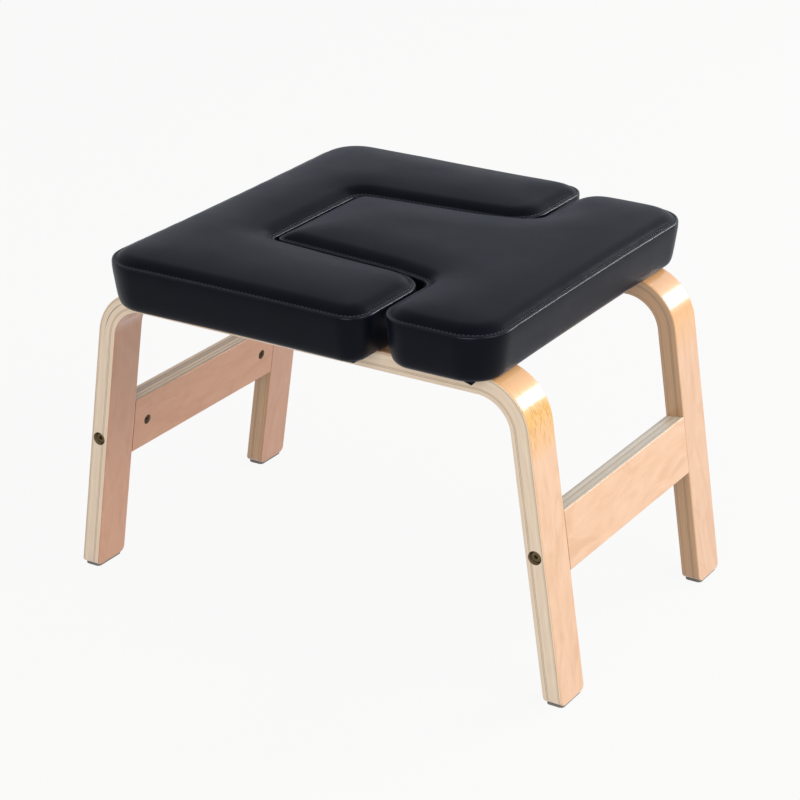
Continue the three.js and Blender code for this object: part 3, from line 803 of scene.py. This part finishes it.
def swollen(cover, count):
    """Lets the foam press the cover outwards: a short cloth simulation, with its reach limited."""
    group = cover.vertex_groups.new(name="held")
    seam_first = len(band_profile) * count
    crown_first = (len(band_profile) + len(seam_profile)) * count
    before = [vertex.co.copy() for vertex in cover.data.vertices]
    for index, place in enumerate(before):
        height = place.z - pad_bottom
        on_seam = seam_first <= index < crown_first
        inside = index >= crown_first and height < pad_side_height
        hold = 1 if height < held_height or inside else seam_hold if on_seam else foam_hold
        group.add([index], hold, "REPLACE")
    cloth = cover.modifiers.new("swell", "CLOTH")
    for key, value in swell_settings.items():
        setattr(cloth.settings, key, value)
    cloth.settings.effector_weights.gravity = 0
    cloth.collision_settings.use_self_collision = False
    cloth.collision_settings.use_collision = False
    cloth.point_cache.frame_start = 1
    cloth.point_cache.frame_end = swell_frames
    for step in range(1, swell_frames + 1):
        scene.frame_set(step)
    evaluated = cover.evaluated_get(bpy.context.evaluated_depsgraph_get())
    moves = np.array([vertex.co - old for old, vertex in zip(before, evaluated.data.vertices)])
    cover.modifiers.clear()
    cover.vertex_groups.clear()
    scene.frame_set(1)
    edges = np.array([tuple(edge.vertices) for edge in cover.data.edges])
    neighbours = np.maximum(np.bincount(edges.ravel(), minlength=len(moves)), 1)[:, None]
    for _ in range(smooth_passes):
        total = np.zeros_like(moves)
        np.add.at(total, edges[:, 0], moves[edges[:, 1]])
        np.add.at(total, edges[:, 1], moves[edges[:, 0]])
        moves = (moves + total / neighbours) / 2
    for vertex, old, move in zip(cover.data.vertices, before, moves):
        sideways = Vector((move[0], move[1]))
        if sideways.length > most_swell_out:
            sideways *= most_swell_out / sideways.length
        up = max(-most_swell_out, min(most_swell_up, float(move[2])))
        vertex.co = old + Vector((sideways.x, sideways.y, up))


# Near-black tones whose blue cast is painted bluish light
leather_and_blue_light_tones = [(0.3, (0.0017, 0.0023, 0.0048)), (0.7, (0.0026, 0.0034, 0.0070))]
grain_warp = 0.0008
leather_shine = 0.088
bead_shine = 0.16


def synthetic_leather():
    """Black cover with a fine pebble grain, its valleys painted darker as shade, a faint unevenness of
    sheen, a glossier seam and a painted bluish cast.
    """
    leather = Finish("black_synthetic_leather")
    place = leather.place()
    warp = leather.add("ShaderNodeTexNoise", Vector=place, Scale=400.0, Detail=2.0).outputs["Color"]
    shift = leather.add("ShaderNodeVectorMath", {"operation": "SCALE"}, Vector=warp, Scale=grain_warp)
    bent = leather.add("ShaderNodeMapping", Vector=place, Location=shift.outputs[0]).outputs[0]
    cells = leather.add("ShaderNodeTexVoronoi", {"feature": "DISTANCE_TO_EDGE"},
                        Vector=bent, Scale=900.0)
    pebbles = leather.ramp(cells.outputs[0], [(0.0, 0.0), (0.22, 1.0)])
    sheen = leather.noise(place, 28.0, Detail=3.0)
    bead = leather.add("ShaderNodeAttribute", {"attribute_name": "seam_bead"}).outputs["Fac"]
    colour = leather.ramp(sheen, leather_and_blue_light_tones)
    # The grain's valleys are painted darker: painted shade in the creases
    colour = leather.tint(colour, leather.ramp(pebbles, [(0.0, 0.7), (0.5, 1.0)]))
    specular = leather.sum("MULTIPLY_ADD", bead, bead_shine, leather_shine)
    gloss = leather.blend(bead, leather.ramp(sheen, [(0.3, 0.32), (0.7, 0.38)]), (0.25, 0.25, 0.25))
    leather.bump(pebbles, 0.20, 0.00012)
    return leather.look(
        Base_Color=colour, Roughness=gloss, Specular_IOR_Level=specular,
        # The blue specular and sheen tints are painted bluish reflections
        Specular_Tint=(0.80, 0.86, 1.0), Sheen_Weight=0.05, Sheen_Roughness=0.4,
        Sheen_Tint=(0.50, 0.62, 1.0),
    )


pleat_width = 0.012
pleat_fold = 0.0016
pleat_inset = 0.0095


def pleats(name, corners, spots):
    """Folded tips of the cover that hang a little under it at the spots: corner, share, drop."""
    vertices = []
    faces = []
    path = outline(corners, pleat_inset)
    starts = [0]
    for (point, _), (after, _) in zip(corners, corners[1:]):
        starts.append(starts[-1] + arc_steps + max(2, round((after - point).length / outline_pitch)))
    for k, share, drop in spots:
        at = starts[k] + round(arc_steps * share)
        along = (path[at + 1] - path[at - 1]).normalized()
        inwards = Vector((-along.y, along.x))
        start = len(vertices)
        for fold in (0, 1):
            for across, lean, down in ((-0.5, 0, 0), (0.5, 0, 0), (0.12, 0.3, 1)):
                place = path[at] + along * (pleat_width * across)
                place = place + inwards * (pleat_fold * (lean + fold))
                vertices.append((place.x, place.y, pad_bottom - flap_thickness / 2 - drop * down))
        faces += [(start, start + 1, start + 2), (start + 3, start + 4, start + 5)]
        faces += band_faces(start, start + 3, 3)
    return tidied(mesh_piece(name, vertices, faces))


row_tilt = Vector((0.06, 0.06, 0.1))
row_seed = 3


def row_tree(name, shape, finish, **shape_inputs):
    """Geometry nodes that lay like pieces end to end along a path, a pitch apart."""
    tree = bpy.data.node_groups.new(name, "GeometryNodeTree")
    tree.interface.new_socket("Path", in_out="INPUT", socket_type="NodeSocketGeometry")
    for size in ("Pitch", "Width", "Height", "Length"):
        tree.interface.new_socket(size, in_out="INPUT", socket_type="NodeSocketFloat")
    tree.interface.new_socket("Pieces", in_out="OUTPUT", socket_type="NodeSocketGeometry")
    row = Nodes(tree)
    given = row.add("NodeGroupInput").outputs
    path = row.add("GeometryNodeMeshToCurve", Mesh=given["Path"])
    spots = row.add("GeometryNodeCurveToPoints", {"mode": "LENGTH"}, Curve=path.outputs["Curve"],
                    Length=given["Pitch"])
    piece = row.add(shape, **shape_inputs)
    scale = row.add("ShaderNodeCombineXYZ", X=given["Width"], Y=given["Height"], Z=given["Length"])
    sized = row.add("GeometryNodeTransform", Geometry=piece.outputs["Mesh"], Scale=scale.outputs[0])
    tilt = row.add("FunctionNodeRandomValue", {"data_type": "FLOAT_VECTOR"}, Min=-row_tilt,
                   Max=row_tilt, Seed=row_seed)
    turned = row.add("FunctionNodeRotateRotation", {"rotation_space": "LOCAL"},
                     Rotation=spots.outputs["Rotation"], Rotate_By=tilt.outputs["Value"])
    laid = row.add("GeometryNodeInstanceOnPoints", Points=spots.outputs["Points"],
                   Instance=sized.outputs["Geometry"], Rotation=turned.outputs["Rotation"])
    real = row.add("GeometryNodeRealizeInstances", Geometry=laid.outputs["Instances"])
    painted = row.add("GeometryNodeSetMaterial", Geometry=real.outputs["Geometry"], Material=finish)
    row.add("NodeGroupOutput", Pieces=painted.outputs["Geometry"])
    return tree


def laid_in_rows(name, runs, tree, pitch, width, height, length):
    """One plain mesh of the tree's pieces, laid along runs of points; a run may be closed."""
    vertices = []
    edges = []
    for points, closed in runs:
        start = len(vertices)
        vertices += [tuple(p) for p in points]
        edges += [(start + k, start + k + 1) for k in range(len(points) - 1)]
        if closed:
            edges.append((len(vertices) - 1, start))
    made = mesh_piece(name, vertices, [], edges)
    rows = made.modifiers.new("rows", "NODES")
    rows.node_group = tree
    sizes = {"Pitch": pitch, "Width": width, "Height": height, "Length": length}
    for socket in tree.interface.items_tree:
        if socket.in_out == "INPUT" and socket.name in sizes:
            rows[socket.identifier] = sizes[socket.name]
    settle(made)
    return soften(made, 50)


stitch_pitch = 0.0042
stitch_length = 0.0031
thread_width = 0.0008
thread_height = 0.0007
thread_tones = [(0.3, (0.022, 0.022, 0.025)), (0.7, (0.060, 0.060, 0.066))]

leather = synthetic_leather()
thread = flecked("black_polyester_thread", thread_tones, 2600.0, 2.0, 0.34, bump=(0.3, 0.0001))
stitches = row_tree("stitch_row", "GeometryNodeMeshUVSphere", thread, Segments=8, Rings=5, Radius=0.5)


def covered_pad(pad, body, corners, pleat_spots):
    """The cover, its pleats and its stitches, riding together."""
    cover = cushion(pad + "_pad_cover", corners)
    count = len(outline(corners, 0))
    swollen(cover, count)
    seam = cover.data.vertices[stitch_ring * count:(stitch_ring + 1) * count]
    path = [vertex.co + Vector((0, 0, stitch_lift)) for vertex in seam]
    soften(tidied(cover), 60)
    finished_in(leather, cover)
    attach(cover, body)
    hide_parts(pad + "_pad_cushion")
    tips = soften(pleats(pad + "_pad_pleats", corners, pleat_spots))
    finished_in(leather, tips)
    row = laid_in_rows(
        pad + "_pad_stitches", [(path, True)], stitches,
        stitch_pitch, thread_width, thread_height, stitch_length,
    )
    for piece in (tips, row):
        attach(piece, body)


u_pleat_drop = 0.0022
u_corners = mirrored([
    corner(seat_left, -u_half_width, left_corner_radius),
    corner(arm_end, -u_half_width, arm_corner_radius),
    corner(arm_end, -slot_mouth_width / 2, slot_mouth_radius),
    corner(slot_end, -slot_end_width / 2, slot_end_radius),
])
covered_pad("u", "stool", u_corners, [(1, 0.42, u_pleat_drop), (6, 0.58, u_pleat_drop)])

# U pad board and under cloth
# The board is plain plywood sawn to the shape of the U. A thin black non-woven cloth is stapled
# under it to hide the turned-in edge of the cover.
board_ply_count = 9
board_thickness = 0.012


def plain_plywood():
    """Unfinished plywood: brown faces with open grain, and plies on the edges."""
    wood = Finish("plain_plywood")
    place = wood.place()
    height = wood.add("ShaderNodeSeparateXYZ", Vector=place).outputs["Z"]
    grain = wood.noise(place, 3.0, (14, 160, 160), Detail=5.0)
    colour = wood.ramp(grain, [(0.35, (0.40, 0.26, 0.14)), (0.65, (0.58, 0.42, 0.26))])
    plies = wood.sum("FRACT", wood.times(height, board_ply_count / (2 * board_thickness)))
    shade = wood.ramp(plies, [(0.45, 0.72), (0.5, 1.0), (0.95, 1.0), (1.0, 0.72)])
    wood.bump(grain, 0.25, 0.0004)
    return wood.look(Base_Color=wood.tint(colour, shade), Roughness=0.7)


def non_woven():
    """Thin black felted cloth with a grid of pressed dots."""
    cloth = Finish("black_non_woven_cloth")
    place = cloth.place()
    fibres = cloth.noise(place, 900.0, Detail=5.0)
    dots = cloth.add("ShaderNodeTexVoronoi", Vector=place, Scale=650.0, Randomness=0.1)
    pressed = cloth.ramp(dots.outputs["Distance"], [(0.18, 0.0), (0.34, 1.0)])
    colour = cloth.ramp(fibres, [(0.3, (0.012, 0.012, 0.013)), (0.7, (0.034, 0.034, 0.037))])
    cloth.bump(pressed, 0.5, 0.0002)
    return cloth.look(Base_Color=colour, Roughness=0.9, Sheen_Weight=0.25)


frame_clearance = 0.004
under_cloth_inset = 0.014
under_cloth_gauge = 0.0004
under_cloth_pitch = 0.012
under_cloth_wave = 0.00018
under_cloth_wave_scale = 28
staple_inset = 0.005
staple_pitch = 0.034
staple_length = 0.0095
staple_wire = 0.0011
staple_rise = 0.0006
least_staple_run = 4

front_clear_y = -front_low.y + frame_clearance
board_plywood = plain_plywood()
black_cloth = non_woven()
zinc = rough_metal("zinc_plated_steel", (0.62, 0.63, 0.64), 0.26, 500.0)
staple_row = row_tree("staple_row", "GeometryNodeMeshCube", zinc)


def over_a_frame(point):
    return front_clear_y - strip_width - 2 * frame_clearance < abs(point.y) < front_clear_y


def lined_underneath(pad, body, corners):
    """The board's finish, and the cloth with its staples under it."""
    finish_nodes(board_plywood, pad + "_pad_board")
    low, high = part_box(pad + "_pad_under_cloth")
    middle = (low.z + high.z) / 2
    rim = outline(corners, under_cloth_inset)
    added, triangles = fill_inside(rim, under_cloth_pitch)
    vertices = []
    for p in list(rim) + added:
        wave = noise.noise(Vector((p.x, p.y, 0)) * under_cloth_wave_scale)
        vertices.append((p.x, p.y, middle + under_cloth_wave * wave))
    cloth = mesh_piece(pad + "_pad_lining", vertices, triangles)
    gauge = cloth.modifiers.new("gauge", "SOLIDIFY")
    gauge.thickness = under_cloth_gauge
    gauge.offset = 0
    soften(tidied(settle(cloth)))
    finished_in(black_cloth, cloth)
    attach(cloth, body)
    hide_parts(pad + "_pad_under_cloth")

    staple_z = middle - under_cloth_gauge / 2 - staple_rise / 4
    runs = [[]]
    line = outline(corners, under_cloth_inset + staple_inset)
    for point in line + line[:1]:
        if over_a_frame(point):
            runs.append([])
        else:
            runs[-1].append((point.x, point.y, staple_z))
    runs = [(run, False) for run in runs if len(run) > least_staple_run]
    staples = laid_in_rows(
        pad + "_pad_staples", runs, staple_row, staple_pitch, staple_wire, staple_rise, staple_length,
    )
    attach(staples, body)


lined_underneath("u", "stool", u_corners)

# Pad bolts
# Two bolts come up through the top of each frame, each with a washer, and screw into T-nuts
# pressed into the board from above. Only their heads and washers can be seen, from below.
for at in four_corners:
    finish_nodes(browned_steel, at + "_pad_bolt")
    finish_nodes(zinc, at + "_pad_washer", at + "_t_nut")

# Stem ledge
# A beech batten screwed under the board at the closed end of the slot. It reaches into the slot
# and carries the tip of the T pad's stem.
finish_nodes(raw_beech("beech_ledge", grain_along_y), "stem_support_ledge")
finish_nodes(zinc, "front_ledge_screw", "back_ledge_screw")

# T pad cover
# The same cover and foam in the shape of a T. Its stem lies in the head slot and its head across
# both frames; it is loose, and lifts off.
arm_end_gap = 0.006
stem_end_gap = 0.005
stem_side_gap = 0.005
stem_end_radius = 0.010
flare_start_run = 0.044
stem_flare_width = 0.200
stem_bend_radius = 0.090
armpit_radius = 0.016
head_left_radius = 0.032
head_right_radius = 0.038
t_pleat_drop = 0.0042

t_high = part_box("t_pad_cushion")[1]
stem_end = slot_end + stem_end_gap
head_left = arm_end + arm_end_gap
seat_right = t_high.x - side_bulge
t_half_width = t_high.y - side_bulge
flare_start = arm_end - flare_start_run


def stem_half_width(x):
    widening = (slot_mouth_width - slot_end_width) / 2 * (x - slot_end) / slot_depth
    return slot_end_width / 2 + widening - stem_side_gap


t_corners = mirrored([
    corner(stem_end, -stem_half_width(stem_end), stem_end_radius),
    corner(flare_start, -stem_half_width(flare_start), stem_bend_radius),
    corner(head_left, -stem_flare_width / 2, armpit_radius),
    corner(head_left, -t_half_width, head_left_radius),
    corner(seat_right, -t_half_width, head_right_radius),
])
covered_pad("t", "t_pad", t_corners, [(4, 0.30, t_pleat_drop), (5, 0.70, t_pleat_drop)])

# T pad board and under cloth
# The same plywood cut to a T in one piece, and the same cloth, stapled wherever the pad doesn't
# lie on a frame.
lined_underneath("t", "t_pad", t_corners)

# Cleats
# Two beech battens screwed under the head of the T pad. They drop between the frames and keep the
# pad from sliding sideways; their lower ends are chamfered so that they find their way in.
cleat_chamfer = 0.010
cleat_edge = 0.0006
grain_along_x = (25, 260, 260)
cleat_beech = raw_beech("beech_cleat", grain_along_x)


def cleat_batten(name, low, high):
    section = [
        (low.x, high.z), (low.x, low.z + cleat_chamfer), (low.x + cleat_chamfer, low.z),
        (high.x - cleat_chamfer, low.z), (high.x, low.z + cleat_chamfer), (high.x, high.z),
    ]
    batten = lofted(name, [[(x, y, z) for x, z in section] for y in (low.y, high.y)])
    rounding = batten.modifiers.new("sanded", "BEVEL")
    rounding.width = cleat_edge
    rounding.segments = 2
    return soften(tidied(settle(batten)))


for end in ("front", "back"):
    batten = cleat_batten(end + "_cleat_batten", *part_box(end + "_cleat"))
    finished_in(cleat_beech, batten)
    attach(batten, "t_pad")
    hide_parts(end + "_cleat")
finish_nodes(zinc, *(at + "_cleat_screw" for at in four_corners))

# Room
# A plain pale floor and large soft lamps, which are not part of the stool. The camera stands to
# the front right and looks down on it.
camera_place = Vector((1.21589, -1.92872, 1.18023))
camera_yaw = math.radians(32.2)
camera_pitch = math.radians(-23.51)
camera_roll = math.radians(-0.28)
camera_lens = 110.42
sensor = 36

camera_data = bpy.data.cameras.new("camera")
camera_data.lens = camera_lens
camera_data.sensor_width = sensor
camera = bpy.data.objects.new("camera", camera_data)
scene.collection.objects.link(camera)
turned = Matrix.Rotation(camera_yaw, 4, "Z") @ Matrix.Rotation(math.pi / 2 + camera_pitch, 4, "X")
turned = turned @ Matrix.Rotation(camera_roll, 4, "Z")
camera.matrix_world = Matrix.Translation(camera_place) @ turned
scene.camera = camera

floor_half = 12
floor_white = 0.92
floor_corners = [(x * floor_half, y * floor_half, 0) for x, y in ((-1, -1), (1, -1), (1, 1), (-1, 1))]
floor = mesh_piece("floor", floor_corners, [(0, 1, 2, 3)])


def pale_floor():
    """A white floor that keeps the stool's shadow and reads as white where none falls."""
    ground = Finish("pale_floor")
    rays = ground.add("ShaderNodeLightPath")
    seen = ground.sum("MAXIMUM", rays.outputs["Is Camera Ray"], rays.outputs["Is Glossy Ray"])
    seen = ground.sum("MAXIMUM", seen, rays.outputs["Is Transmission Ray"])
    matt = ground.add("ShaderNodeBsdfDiffuse", Color=(0.52, 0.49, 0.45))
    glow = ground.add("ShaderNodeEmission", Color=(1, 1, 1), Strength=1.0)
    mixed = ground.add("ShaderNodeMixShader", Fac=ground.times(seen, floor_white))
    ground.set(mixed, "1", matt.outputs[0])
    ground.set(mixed, "2", glow.outputs[0])
    ground.set(ground.nodes["Material Output"], "Surface", mixed.outputs[0])
    return ground.material


finished_in(pale_floor(), floor)

world = bpy.data.worlds.new("studio")
scene.world = world
world.use_nodes = True
background = world.node_tree.nodes["Background"]
background.inputs["Color"].default_value = (0.95, 0.96, 1.0, 1)
background.inputs["Strength"].default_value = 0.55

for name, place, target, size, power, tint, roll in (
    ("key", (2.4, -0.1, 2.0), (0, 0, 0.2), (1.5, 1.5), 27, (1, 0.98, 0.95), 0),
    ("window", (1.62, 2.38, 1.28), (0.235, 0, 0.3), (1.2, 0.75), 44, (1, 1, 1), -30),
    ("wall", (0.5, 3.4, 1.7), (0.1, 0, 0.35), (3.4, 1.8), 10, (0.90, 0.94, 1), 0),
    ("fill", (0.9, -3.0, 1.3), (0, 0, 0.2), (1.8, 1.8), 36, (1, 0.97, 0.93), 0),
):
    lamp_data = bpy.data.lights.new(name, "AREA")
    lamp_data.shape = "RECTANGLE"
    lamp_data.size, lamp_data.size_y = size
    lamp_data.energy = power
    lamp_data.color = tint
    lamp = bpy.data.objects.new(name, lamp_data)
    scene.collection.objects.link(lamp)
    aim = (Vector(target) - Vector(place)).to_track_quat("-Z", "Y").to_matrix().to_4x4()
    lamp.matrix_world = Matrix.Translation(place) @ aim @ Matrix.Rotation(math.radians(roll), 4, "Z")

scene.view_settings.view_transform = "Standard"
